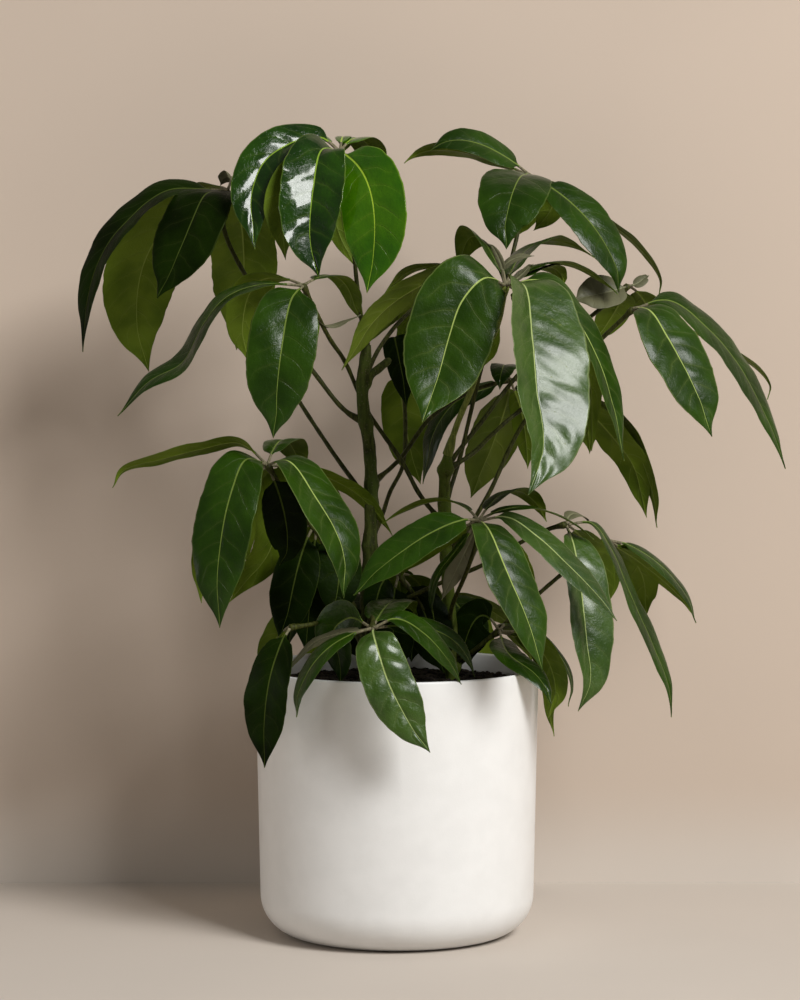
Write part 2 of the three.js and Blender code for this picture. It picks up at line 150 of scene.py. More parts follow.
# The compound leaves. In each, the leaflets of the construction model come first, in its order.
LEAVES = {
    "high_left": leaf(
        [(-33, 0, 507), (-52, 5, 519), (-83, 12, 557), (-146, 32, 644), (-172, 40, 700), (-168, 40, 735)],
        blade([(-229, 34, 734), (-271, 24, 700), (-291, 18, 672), (-306, 12, 622)], (-306, 10, 577), 44,
              (-1.6, -1.3, 1), tone="shade", fold=0.3),
        blade([(-252, 100, 672)], (-259, 145, 553), 78, (-0.8, 2.4, 0.6)),
        blade([(-188, 5, 730), (-202, -10, 700), (-219, -22, 659)], (-231, -28, 630), 76, (-1.6, -2.4, 0.1),
              tone="shade", stalk=8, fold=0.12),
        blade([(-155, 95, 686)], (-162, 150, 575), 68, (0.3, 2, 0.5)),
        extra([(-199, 110, 732)], (-213, 160, 676), 34, (0, 1, 1.5)),
        extra([(-166, 62, 750)], (-180, 75, 742), 16, (0.2, 1, 0.8), tone="young"),
    ),
    "mid_left": leaf(
        [(47, 7, 405), (23, 12, 434), (5, 16, 467), (-29, 19, 517), (-51, 2, 566), (-65, -30, 589),
         (-76, -50, 611), (-90, -70, 642)],
        blade([(-130, -74, 643), (-162, -75, 632), (-185, -73, 607), (-207, -69, 568), (-240, -64, 549)],
              (-271, -60, 517), 36, (-0.6, -0.5, 1), twist=-30),
        blade([(-101, -95, 628), (-109, -115, 586), (-114, -121, 539)], (-114, -120, 499), 66, (0, -3, 0.6),
              stalk=9, fold=0.2),
        blade([(-140, -30, 640)], (-151, 0, 567), 40, (-1, 2, 0.7)),
        extra([(-55, -20, 648)], (-39, 0, 605), 30, (0.5, 0.6, 1.5)),
        extra([(-73, -40, 603)], (-39, -20, 615), 14, (0, -0.3, 1), tone="young"),
    ),
    "top": leaf(
        [(-30, 0, 583), (-34, 0, 603), (-39, 0, 640), (-44, 0, 690), (-56, 0, 772)],
        blade([(-75, 8, 786), (-102, -3, 781), (-129, -16, 762), (-141, -29, 731), (-140, -38, 703)],
              (-133, -42, 678), 46, (-0.6, -3, 1), tone="wet", fold=0.32, bulge=0.08, quilt=2),
        blade([(-73, -25, 773), (-81, -48, 734), (-84, -58, 691)], (-78, -62, 651), 62, (-0.2, -3, 1),
              tone="wet", stalk=9, fold=0.45, bulge=0.04, wave=0.1, quilt=1.5),
        blade([(-79, -16, 760), (-101, -35, 747), (-113, -38, 718)], (-104, -37, 668), 36, (-0.5, 2.4, 0.4),
              tone="fresh", fold=0.06),
        blade([(-24, -48, 726)], (-28, -52, 636), 66, (-0.7, -3, 0), tone="fresh", stalk=9, fold=0.1,
              bulge=0.06, quilt=0.4),
        extra([(-33, 50, 785)], (-18, 70, 743), 38, (0.5, 1, 1.0), tone="fresh"),
        extra([(-53, 40, 788)], (-51, 80, 772), 16, (0, 0.4, 1), tone="fresh"),
        extra([(-67, 50, 736), (-57, 60, 691)], (-40, 60, 658), 24, (0, 2, 0.5), tone="fresh"),
        extra([(-85, 30, 791)], (-110, 45, 778), 22, (-0.5, 0.6, 1.4), tone="fresh"),
        extra([(-75, 75, 755)], (-85, 110, 688), 40, (0, 2, 0.6), tone="fresh"),
        extra([(-104, 30, 756)], (-108, 58, 684), 44, (-0.6, 1.8, 0.7), tone="fresh"),
    ),
    "high_right": leaf(
        [(47, 5, 425), (60, 22, 462), (84, 32, 560), (107, 42, 640), (125, 66, 712), (134, 78, 750)],
        blade([(77, 60, 783)], (34, 55, 776), 34, (-0.5, -1.9, 1.8)),
        blade([(116, 10, 738)], (102, -20, 678), 68, (-0.4, -3, 0.8), fold=0.14),
        blade([(193, 60, 703)], (226, 50, 635), 50, (1.2, -2, 1)),
        extra([(54, 110, 777)], (11, 120, 765), 34, (-0.3, 0.8, 1.6)),
        extra([(238, 110, 686)], (269, 120, 630), 26, (1, 0.4, 1.2)),
        extra([(158, 110, 728)], (139, 120, 697), 28, (0.2, 1.6, 1)),
        extra([(130, 132, 726)], (112, 165, 684), 44, (0, 1.6, 0.8)),
    ),
    "crown": leaf(
        [(50, 0, 475), (59, -8, 505), (73, -18, 540), (85, -30, 576), (97, -42, 601), (105, -60, 642)],
        blade([(83, -92, 649), (62, -102, 627), (50, -108, 594), (39, -119, 555)], (24, -142, 515), 84,
              (-0.1, -3, 0.8), tone="mid", fold=0.22),
        blade([(122, -88, 642), (128, -122, 596), (132, -145, 544), (137, -166, 488)], (119, -182, 449), 82,
              (1.7, -3, 1.2), tone="dusty", stalk=9, fold=0.42, lean=0.28, bulge=0.06, quilt=1.5),
        blade([(143, -64, 646), (171, -62, 613), (194, -58, 572), (208, -54, 531)], (223, -50, 473), 38,
              (2.4, -1.8, 1), tone="mid", fold=0.35),
        blade([(61, -45, 655), (8, -30, 633), (-26, -22, 603)], (-50, -20, 560), 44, (-0.5, 1.2, 1.6),
              tone="mid"),
        extra([(32, 0, 661)], (-7, 20, 635), 32, (-0.2, 0.5, 2)),
        extra([(78, 20, 690)], (62, 55, 655), 36, (-0.2, 1, 0.6)),
        extra([(141, 20, 684)], (194, 40, 670), 38, (0.2, 1, 1.6)),
        extra([(160, 0, 664)], (215, 10, 634), 30, (0.3, 0.4, 1.6)),
        extra([(181, 30, 582)], (190, 30, 478), 32, (1, 1.4, 0.6)),
        extra([(149, 20, 660)], (168, 45, 638), 30, (0.3, 0.8, 1)),
        extra([(62, 10, 622)], (45, 45, 574), 44, (-0.2, 1.6, 0.6), tone="shade"),
        extra([(142, 0, 600)], (146, 40, 505), 44, (0.4, 1.6, 0.5), tone="shade"),
        extra([(105, -62, 662)], (129, -68, 672), 8, (0.3, -1, 0.8), tone="young", widest=0.35),
        extra([(99, -62, 667)], (88, -64, 684), 8, (-0.6, -1, 0.6), tone="young", widest=0.35),
        extra([(121, -58, 653)], (129, -60, 664), 7, (0.8, -1, 0.3), tone="young", widest=0.35),
    ),
    "young_right": leaf(
        [(48, 4, 462), (80, 40, 500), (130, 70, 560), (190, 90, 605), (233, 92, 640)],
        extra([(212, 80, 634)], (176, 68, 627), 40, (-0.3, -2.4, 1.4), tone="young", stalk=6, fold=0.3),
        extra([(243, 92, 643)], (254, 98, 652), 13, (0.2, -1, 1), tone="young", stalk=5),
        extra([(225, 125, 620)], (205, 150, 585), 34, (-0.2, 1.4, 0.8)),
        extra([(255, 125, 618)], (268, 145, 575), 32, (0.6, 1.4, 0.8)),
    ),
    "far_right": leaf(
        [(48, 10, 372), (70, 15, 400), (91, 20, 435), (124, 30, 502), (162, 25, 548), (205, 10, 592),
         (231, -10, 618)],
        blade([(245, -28, 618), (262, -42, 593), (284, -55, 551)], (308, -60, 497), 64, (1.8, -2.8, 0.5),
              tone="mid", stalk=9, fold=0.2, quilt=1.1),
        blade([(266, -5, 627), (303, 8, 602), (337, 14, 563), (367, 18, 508)], (386, 20, 461), 44,
              (1.2, -0.9, 1)),
        extra([(345, 60, 570)], (374, 60, 528), 26, (1, 0.4, 1.2)),
        extra([(255, 60, 610)], (270, 105, 560), 34, (0.4, 1.4, 1)),
    ),
    "low_left": leaf(
        [(-29, 0, 341), (-48, -10, 363), (-80, -40, 403), (-113, -62, 449), (-125, -70, 469)],
        blade([(-152, -62, 490), (-191, -60, 484), (-230, -58, 474), (-264, -54, 464)], (-279, -50, 447), 32,
              (-0.3, 1, 2)),
        blade([(-145, -95, 475), (-160, -112, 438), (-170, -119, 381)], (-172, -118, 317), 58,
              (-0.8, -3, 0.5), stalk=9),
        blade([(-105, -85, 474), (-77, -108, 439), (-54, -120, 398)], (-46, -125, 347), 56, (3.1, -3, 1.2),
              tone="mid", stalk=9, fold=0.24, quilt=1.1),
        blade([(-118, -24, 448), (-126, -6, 380)], (-169, -10, 331), 42, (-0.5, 1, 1)),
        extra([(-51, -20, 446)], (-7, 0, 396), 26, (0.3, 1, 1.4)),
        extra([(-110, -10, 490)], (-94, 40, 455), 34, (0.2, 1, 0.8)),
        extra([(-108, -60, 415)], (-109, -60, 372), 42, (0, -2, 0.3), tone="shade"),
        extra([(-180, -60, 400)], (-186, -60, 335), 34, (-1, 1.4, 0.6)),
        extra([(-150, 20, 445)], (-150, 60, 362), 44, (-0.3, 1.8, 0.5)),
        extra([(-80, 0, 440)], (-60, 40, 368), 40, (0.3, 1.8, 0.5)),
    ),
    "inner_low": leaf(
        [(-29, 0, 305), (-48, -6, 335), (-68, -10, 375), (-79, -15, 408)],
        extra([(-95, -25, 373)], (-111, -38, 296), 46, (-0.5, -2.6, 0.5), tone="shade"),
        extra([(-58, -22, 368)], (-65, -32, 318), 46, (0.2, -2.6, 0.4), tone="shade"),
        extra([(-70, 30, 395)], (-75, 60, 330), 42, (0, 1.8, 0.6)),
        extra([(-84, -8, 350)], (-90, -14, 282), 40, (-0.2, -2.6, 0.4), tone="shade"),
    ),
    "inner_centre": leaf(
        [(52, 18, 275), (40, 2, 296), (28, -10, 320), (14, -6, 340), (2, 0, 356)],
        extra([(2, 24, 356)], (4, 40, 325), 30, (0, 1, 0.6)),
        extra([(-14, -14, 350)], (-22, -24, 316), 30, (-0.4, -2, 0.6), tone="shade"),
        extra([(22, 30, 345)], (38, 60, 305), 34, (0.5, 1.4, 0.8)),
        extra([(26, -12, 322)], (44, -22, 262), 46, (0.3, -2.6, 0.4), tone="shade"),
        extra([(-4, -24, 318)], (2, -32, 262), 42, (-0.1, -2.6, 0.4), tone="shade"),
    ),
    "centre": leaf(
        [(54, 18, 290), (53, -20, 322), (68, -70, 367), (77, -100, 400), (78, -110, 418)],
        blade([(31, -140, 408)], (-44, -150, 352), 44, (-0.6, -1.9, 1.8)),
        blade([(87, -135, 412), (106, -158, 368), (123, -168, 329)], (137, -172, 282), 54, (2.3, -3, 0.8),
              tone="mid", stalk=9, fold=0.22, quilt=1.1),
        blade([(106, -108, 421), (132, -118, 405), (160, -124, 380), (191, -126, 348)], (210, -125, 325), 36,
              (0.8, -1.3, 1.6), tone="dusty"),
        extra([(114, -60, 444)], (147, -40, 413), 32, (0.3, 0.8, 1.6)),
        extra([(133, -70, 427)], (191, -60, 397), 28, (0.5, 0.1, 1.6), tone="mid"),
        extra([(42, -70, 435)], (-13, -60, 413), 28, (-0.3, 0.5, 1.6)),
        extra([(59, -95, 391), (36, -92, 358)], (32, -90, 319), 28, (-1.2, -0.4, 1)),
        extra([(67, -70, 387)], (43, -60, 338), 24, (0.5, -1, 0.4), tone="young"),
        extra([(112, -60, 372)], (125, -20, 312), 36, (0.3, 1.6, 0.6)),
        extra([(30, -60, 390)], (2, -20, 357), 30, (-0.3, 1.4, 0.8)),
    ),
    "low_right": leaf(
        [(-29, 0, 318), (-10, -8, 325), (17, -18, 338), (53, -27, 355), (86, -35, 370), (120, -40, 391),
         (149, -42, 405), (165, -40, 409)],
        blade([(172, -62, 388), (178, -82, 348), (183, -94, 298), (186, -97, 263)], (176, -97, 234), 50,
              (1.9, -3, 0.7), tone="dusty", stalk=8, fold=0.4, lean=0.22, quilt=1.2),
        blade([(190, -38, 410), (207, -36, 389), (231, -34, 334), (253, -32, 285), (267, -30, 247)],
              (267, -30, 220), 34, (2, -1, 1.2), twist=20),
        extra([(174, -20, 418)], (192, 0, 408), 15, (0, -1, 1.5), tone="young", stalk=6),
        extra([(195, 10, 372)], (205, 40, 312), 34, (0.3, 1.8, 0.6)),
    ),
    "low_right_rear": leaf(
        [(56, 20, 261), (74, 26, 276), (113, 30, 309), (148, 25, 341), (191, 15, 378), (207, 10, 390)],
        blade([(231, 12, 384), (259, 12, 366), (283, 13, 340)], (300, 15, 308), 28, (1, -0.8, 2)),
        extra([(242, 35, 366), (273, 38, 341)], (297, 40, 315), 20, (0.8, 1, 1)),
        extra([(243, 45, 357)], (246, 45, 312), 32, (0.2, 1.6, 1)),
        extra([(210, 70, 365)], (205, 105, 305), 38, (0, 1.6, 0.8)),
    ),
    "rim_front": leaf(
        [(-31, 0, 268), (-29, -40, 300), (-26, -90, 322), (-23, -130, 326), (-23, -150, 319)],
        blade([(-20, -175, 309), (-8, -184, 272), (8, -187, 240)], (28, -187, 207), 48, (0.2, -3, 0.8),
              tone="dusty", stalk=6, fold=0.16, quilt=2.6, wave=0.1),
        blade([(-73, -160, 293)], (-98, -165, 238), 30, (-1.5, -1, 1)),
        blade([(0, -150, 328), (27, -140, 312), (47, -132, 289)], (63, -128, 264), 32, (1, -1.4, 1.6)),
        extra([(-45, -120, 326), (-61, -105, 311), (-55, -100, 283)], (-53, -98, 260), 42, (-0.3, -2.5, 1)),
        extra([(-76, -100, 302), (-93, -95, 287)], (-112, -90, 264), 20, (-0.4, -1, 1.4), tone="young"),
        extra([(-1, -60, 337)], (19, -20, 315), 40, (0.2, 0.6, 1.6)),
        extra([(43, -110, 310)], (74, -100, 268), 22, (0.6, -1.2, 0.8)),
    ),
    "rim_left": leaf(
        [(-30, 0, 300), (-50, -45, 325), (-80, -100, 318), (-102, -115, 316)],
        blade([(-111, -124, 300), (-123, -130, 258)], (-129, -120, 183), 50, (-1.6, -2.2, -0.2), tone="shade",
              stalk=9, fold=0.2),
        extra([(-115, -90, 300)], (-138, -70, 250), 30, (-1.4, 0.4, 1)),
    ),
    "rim_right": leaf(
        [(55, 20, 266), (72, 7, 277), (90, 2, 292), (101, 0, 300)],
        blade([(122, 10, 297), (147, 14, 275), (158, 14, 240)], (149, 10, 214), 42, (1.6, 1.6, 1)),
        blade([(110, -60, 283), (134, -75, 266)], (153, -85, 240), 32, (0.8, -1.5, 1.8)),
        extra([(81, 14, 313)], (64, 10, 274), 42, (-0.4, -2, 0.8), tone="shade"),
        extra([(140, 40, 280), (152, 42, 240)], (153, 35, 192), 24, (1, 1, 0.6)),
        extra([(145, 30, 290), (172, 30, 255)], (175, 30, 223), 14, (1, -0.6, 0.8)),
        extra([(118, 45, 300)], (140, 85, 262), 34, (0.5, 1.2, 1)),
    ),
    "rim_rear": leaf(
        [(56, 24, 262), (54, 50, 292), (47, 90, 318), (42, 112, 326)],
        extra([(0, 142, 312)], (-38, 168, 238), 46, (-0.4, 1.8, 0.8)),
        extra([(70, 152, 302)], (86, 170, 226), 48, (0.4, 1.8, 0.8)),
        extra([(84, 112, 316)], (122, 128, 288), 34, (0.6, 1, 1.2)),
        extra([(10, 90, 330)], (-28, 72, 300), 38, (-0.4, -0.8, 1.6), tone="shade"),
        extra([(66, 70, 312)], (78, 36, 268), 44, (0.3, -1.4, 1), tone="shade"),
        extra([(24, 72, 310)], (14, 42, 266), 44, (-0.2, -1.4, 1), tone="shade"),
    ),
    "rim_rear_left": leaf(
        [(-31, 2, 275), (-46, 34, 305), (-62, 72, 322), (-72, 98, 322)],
        extra([(-112, 118, 300)], (-138, 122, 240), 42, (-1.2, 1.4, 0.8)),
        extra([(-70, 140, 298)], (-84, 166, 226), 44, (-0.2, 2, 0.8)),
        extra([(-52, 60, 326)], (-38, 24, 300), 38, (0.2, -1, 1.2), tone="shade"),
        extra([(-96, 62, 318)], (-108, 20, 285), 36, (-1, -0.8, 1.2), tone="shade"),
        extra([(-48, 66, 308)], (-34, 34, 266), 44, (0.2, -1.4, 1), tone="shade"),
    ),
    "inner_rear": leaf(
        [(-25, 0, 446), (3, 29, 469), (33, 50, 508), (73, 70, 534), (113, 80, 546)],
        blade([(92, 98, 537), (59, 100, 522), (36, 100, 488)], (30, 100, 441), 30, (-1, -1.2, 1.2)),
        blade([(105, 120, 500)], (74, 135, 424), 60, (-0.5, 1, 0.7), tone="shade"),
        extra([(128, 108, 505)], (133, 120, 455), 26, (0.5, 1.4, 0.6)),
        extra([(107, 40, 562)], (100, 10, 540), 26, (0, -0.6, 1.6)),
        extra([(140, 110, 530)], (165, 150, 480), 42, (0.6, 1.6, 0.8)),
    ),
    "upper_rear": leaf(
        [(-33, 4, 545), (-18, 36, 578), (10, 70, 612), (36, 88, 630)],
        extra([(22, 130, 604)], (28, 162, 545), 44, (-0.2, 1.8, 0.6)),
        extra([(76, 125, 612)], (90, 158, 552), 44, (0.5, 1.8, 0.6)),
        extra([(60, 60, 618)], (88, 30, 570), 38, (0.4, -1.6, 0.8)),
        extra([(-6, 120, 618)], (-40, 150, 575), 40, (-0.8, 1.4, 0.8)),
    ),
    "rear_right": leaf(
        [(47, 1, 458), (76, 20, 476), (94, 40, 492), (121, 60, 514), (164, 70, 541)],
        blade([(197, 85, 511), (219, 95, 487), (241, 105, 456)], (253, 110, 406), 42, (1, 1.5, 1)),
        extra([(190, 122, 525)], (196, 160, 468), 34, (0, 1.6, 0.8)),
        extra([(225, 100, 505), (252, 98, 455)], (268, 100, 396), 28, (1, 0.8, 0.8)),
    ),
    "inner_left": leaf(
        [(-27, 0, 386), (-16, 30, 409), (-7, 60, 434), (6, 85, 460), (8, 110, 514), (3, 120, 562)],
        blade([(6, 150, 512)], (22, 165, 436), 46, (-0.3, 2, 0.5)),
        extra([(-2, 90, 586)], (12, 70, 520), 28, (-0.2, -1.6, 0.6), tone="shade"),
        extra([(44, 140, 560)], (66, 165, 515), 40, (0.6, 1.6, 0.6)),
    ),
    "rear_left": leaf(
        [(-26, 2, 426), (-60, 30, 470), (-100, 60, 528), (-118, 72, 556)],
        extra([(-112, 120, 545)], (-116, 160, 512), 44, (0, 1.8, 0.6)),
        extra([(-135, 70, 575)], (-152, 62, 620), 30, (-0.8, 1.6, 0.2)),
        extra([(-98, 100, 585)], (-92, 110, 630), 34, (0.4, 1.8, 0.2)),
    ),
}

# ----- Curves and grids -----


def smooth_step(low, high, value):
    """0 below low, 1 above high and a smooth rise between them."""
    share = np.clip((np.asarray(value, float) - low) / (high - low), 0, 1)
    return share * share * (3 - 2 * share)


def unit(vectors):
    return vectors / np.linalg.norm(vectors, axis=-1, keepdims=True)


def path_length(line):
    return np.linalg.norm(np.diff(line, axis=0), axis=1).sum()


def noise_grid(rows, columns, seed):
    """Smooth noise for each row and column, which are given in units of its own grain."""
    columns = np.broadcast_to(columns, (len(rows), np.shape(columns)[-1]))
    return np.array([[noise.noise(Vector((a, b, seed))) for b in row] for a, row in zip(rows, columns)])


def arch(start, middle, end):
    """A plain arch that passes near its middle point, as points."""
    start, middle, end = (np.array(point, float) for point in (start, middle, end))
    control = 2 * middle - (start + end) / 2
    share = np.linspace(0, 1, ARCH_POINTS)[:, None]
    return (1 - share) ** 2 * start + 2 * share * (1 - share) * control + share**2 * end


def smooth_line(points):
    """A smooth line through all the points, as points. It doesn't swing out between them."""
    given = np.array(points, float)
    ends = [2 * given[0] - given[1]], [2 * given[-1] - given[-2]]
    padded = np.concatenate([ends[0], given, ends[1]])
    line = []
    for before, first, second, after in zip(padded, padded[1:], padded[2:], padded[3:]):
        knots = np.cumsum([0] + [np.linalg.norm(b - a) ** 0.5 for a, b in
                                 ((before, first), (first, second), (second, after))])
        at = np.linspace(knots[1], knots[2], POINTS_PER_SPAN, endpoint=False)[:, None]

        def between(a, b, low, high):
            return ((high - at) * a + (at - low) * b) / (high - low)

        one = between(before, first, knots[0], knots[1])
        two = between(first, second, knots[1], knots[2])
        three = between(second, after, knots[2], knots[3])
        four = between(one, two, knots[0], knots[2])
        five = between(two, three, knots[1], knots[3])
        line.append(between(four, five, knots[1], knots[2]))
    return np.concatenate([*line, given[-1:]])


def walk(line, shares):
    """Places and directions at the given shares of a line's length."""
    lengths = np.linalg.norm(np.diff(line, axis=0), axis=1)
    travelled = np.concatenate([[0], np.cumsum(lengths)])
    directions = unit(np.gradient(line, travelled, axis=0))
    wanted = np.asarray(shares) * travelled[-1]
    places = np.stack([np.interp(wanted, travelled, line[:, k]) for k in range(3)], axis=1)
    ways = np.stack([np.interp(wanted, travelled, directions[:, k]) for k in range(3)], axis=1)
    return places, unit(ways)


def turn(vectors, axes, angles):
    """Each vector turned about its unit axis."""
    cos, sin = np.cos(angles)[:, None], np.sin(angles)[:, None]
    along = np.sum(axes * vectors, axis=1, keepdims=True)
    return vectors * cos + np.cross(axes, vectors) * sin + axes * along * (1 - cos)


def carried(up, middle, ways):
    """The upper side at each way, carried there from the middle with no twist."""
    axis = np.cross(np.broadcast_to(middle, ways.shape), ways)
    size = np.linalg.norm(axis, axis=1)
    angles = np.arctan2(size, ways @ middle)
    axes = np.where(size[:, None] > 1e-6, axis / np.maximum(size, 1e-6)[:, None], ways)
    return turn(np.broadcast_to(up, ways.shape), axes, angles)


def tube_mesh(rings, near_end, far_end):
    """Faces of a closed tube: ring after ring, with a fan to a point at each end."""
    count, sides = rings.shape[:2]
    points = np.concatenate([rings.reshape(-1, 3), [near_end], [far_end]])
    near, far = count * sides, count * sides + 1
    faces = []
    for row in range(count - 1):
        for side in range(sides):
            here, beside = row * sides + side, row * sides + (side + 1) % sides
            faces.append((here, here + sides, beside + sides, beside))
    last = (count - 1) * sides
    for side in range(sides):
        beside = (side + 1) % sides
        faces.append((near, side, beside))
        faces.append((last + side, far, last + beside))
    return points, faces


def new_piece(name, points, faces, materials, face_materials=None):
    """A smooth-shaded mesh piece in metres from points in millimetres."""
    mesh = bpy.data.meshes.new(name)
    mesh.from_pydata((np.asarray(points) * MM).tolist(), [], faces)
    for material in materials:
        mesh.materials.append(material)
    if face_materials is not None:
        mesh.polygons.foreach_set("material_index", face_materials)
    mesh.polygons.foreach_set("use_smooth", [True] * len(mesh.polygons))
    mesh.update()
    piece = bpy.data.objects.new(name, mesh)
    bpy.context.scene.collection.objects.link(piece)
    return piece


def add_map(mesh, name, corner_values):
    """A UV map from an array of two numbers for each corner of each face."""
    layer = mesh.uv_layers.new(name=name)
    layer.uv.foreach_set("vector", np.asarray(corner_values, dtype=np.float32).ravel())


# ----- Materials -----


class Shader:
    """A material with a Principled surface, and a short call for each kind of node."""

    def __init__(self, name, **settings):
        self.material = bpy.data.materials.new(name)
        self.material.use_nodes = True
        self.tree = self.material.node_tree
        self.surface = self.tree.nodes["Principled BSDF"]
        for socket, value in settings.items():
            self.put(value, self.surface.inputs[socket.replace("_", " ")])

    def put(self, value, socket):
        """Links a node's output, or sets a plain number or colour."""
        if isinstance(value, bpy.types.NodeSocket):
            self.tree.links.new(value, socket)
        elif isinstance(value, tuple) and len(value) == 3 and socket.type == "RGBA":
            socket.default_value = (*value, 1)
        else:
            socket.default_value = value

    def node(self, kind, **settings):
        made = self.tree.nodes.new("ShaderNode" + kind)
        for key, value in settings.items():
            setattr(made, key, value)
        return made

    def maths(self, operation, *values, clamp=False):
        made = self.node("Math", operation=operation, use_clamp=clamp)
        for value, socket in zip(values, made.inputs):
            self.put(value, socket)
        return made.outputs[0]

    def times(self, value, factor):
        return self.maths("MULTIPLY", value, factor)

    def plus(self, value, other, clamp=False):
        return self.maths("ADD", value, other, clamp=clamp)

    def fade(self, value, low, high, to_low=0.0, to_high=1.0):
        """A smooth step from to_low at low to to_high at high."""
        made = self.node("MapRange", interpolation_type="SMOOTHSTEP")
        for number, socket in zip((value, low, high, to_low, to_high), made.inputs):
            self.put(number, socket)
        return made.outputs[0]

    def mix(self, share, first, second):
        made = self.node("Mix", data_type="RGBA")
        for value, socket in ((share, made.inputs[0]), (first, made.inputs[6]), (second, made.inputs[7])):
            self.put(value, socket)
        return made.outputs[2]

    def tint(self, base, share, strength, over):
        """A base colour with another one over it, where share is high and as strong as given."""
        return self.mix(self.times(share, strength), base, over)

    def places(self):
        return self.node("TexCoord").outputs["Object"]

    def parts(self, vector):
        split = self.node("SeparateXYZ")
        self.put(vector, split.inputs[0])
        return split.outputs

    def uv(self, name):
        """A map's own vector, and its two numbers."""
        vector = self.node("UVMap", uv_map=name).outputs[0]
        first, second, _ = self.parts(vector)
        return vector, first, second

    def stretched(self, scale):
        """Places in the piece, with a pattern drawn out along an axis whose scale is below 1."""
        made = self.node("Mapping")
        self.put(self.places(), made.inputs["Vector"])
        self.put(scale, made.inputs["Scale"])
        return made.outputs[0]

    def noise(self, scale, detail, vector=None, rough=0.5):
        made = self.node("TexNoise")
        self.put(vector or self.places(), made.inputs["Vector"])
        self.put(scale, made.inputs["Scale"])
        self.put(detail, made.inputs["Detail"])
        self.put(rough, made.inputs["Roughness"])
        return made.outputs["Fac"]

    def cells(self, scale, vector=None, feature="DISTANCE_TO_EDGE"):
        made = self.node("TexVoronoi", feature=feature)
        self.put(vector or self.places(), made.inputs["Vector"])
        self.put(scale, made.inputs["Scale"])
        return made.outputs["Distance"]

    def bump(self, height, distance, below=None):
        made = self.node("Bump")
        self.put(distance, made.inputs["Distance"])
        self.put(height, made.inputs["Height"])
        if below is not None:
            self.put(below, made.inputs["Normal"])
        return made.outputs[0]

    def finish(self, **links):
        for socket, value in links.items():
            self.put(value, self.surface.inputs[socket.replace("_", " ")])
        return self.material


# Leaf tones: two greens and a vein colour for each side, then the glossy side's roughness, its
# reflection, the weight and roughness of its coat, its dust, and its fine puckers' depth in metres.
TONES = {
    "deep": {
        "top": ((0.008, 0.024, 0.0005), (0.017, 0.046, 0.0015)), "vein": (0.12, 0.17, 0.030),
        "under": ((0.074, 0.120, 0.005), (0.115, 0.172, 0.011)), "under_vein": (0.20, 0.26, 0.045),
        "roughness": 0.28, "reflection": 0.12, "coat": (0.12, 0.12), "dust": 0.08, "pucker": 0.0013,
    },
    # Painted shade: the leaf in far darker greens, for leaflets that lie in shadow deep in the plant.
    "shade": {
        "top": ((0.003, 0.007, 0.0005), (0.007, 0.017, 0.001)), "vein": (0.06, 0.085, 0.015),
        "under": ((0.052, 0.080, 0.004), (0.082, 0.116, 0.008)), "under_vein": (0.15, 0.19, 0.035),
        "roughness": 0.4, "reflection": 0.03, "coat": (0.01, 0.2), "dust": 0.0, "pucker": 0.001,
    },
    "mid": {
        "top": ((0.010, 0.029, 0.0005), (0.020, 0.052, 0.0015)), "vein": (0.30, 0.38, 0.10),
        "under": ((0.062, 0.096, 0.005), (0.098, 0.140, 0.011)), "under_vein": (0.22, 0.27, 0.055),
        "roughness": 0.34, "reflection": 0.12, "coat": (0.12, 0.16), "dust": 0.16, "pucker": 0.0014,
    },
    "wet": {
        "top": ((0.004, 0.020, 0.0005), (0.014, 0.050, 0.001)), "vein": (0.20, 0.32, 0.03),
        "under": ((0.055, 0.092, 0.005), (0.095, 0.140, 0.010)), "under_vein": (0.18, 0.25, 0.04),
        "roughness": 0.2, "reflection": 0.1, "coat": (0.5, 0.1), "dust": 0.0, "pucker": 0.0022,
    },
    "fresh": {
        "top": ((0.020, 0.078, 0.0005), (0.040, 0.116, 0.001)), "vein": (0.28, 0.42, 0.03),
        "under": ((0.060, 0.098, 0.005), (0.100, 0.148, 0.010)), "under_vein": (0.18, 0.25, 0.04),
        "roughness": 0.24, "reflection": 0.12, "coat": (0.35, 0.07), "dust": 0.0, "pucker": 0.0014,
    },
    "dusty": {
        "top": ((0.017, 0.045, 0.002), (0.034, 0.074, 0.005)), "vein": (0.30, 0.37, 0.13),
        "under": ((0.072, 0.104, 0.012), (0.118, 0.154, 0.025)), "under_vein": (0.22, 0.26, 0.08),
        "roughness": 0.38, "reflection": 0.2, "coat": (0.38, 0.2), "dust": 0.35, "pucker": 0.0024,
    },
    "young": {
        "top": ((0.080, 0.080, 0.040), (0.125, 0.122, 0.068)), "vein": (0.18, 0.18, 0.10),
        "under": ((0.110, 0.106, 0.060), (0.160, 0.150, 0.090)), "under_vein": (0.22, 0.20, 0.12),
        "roughness": 0.5, "reflection": 0.2, "coat": (0.05, 0.3), "dust": 0.3, "pucker": 0.001,
    },
}
DUST_COLOUR = (0.24, 0.28, 0.17)


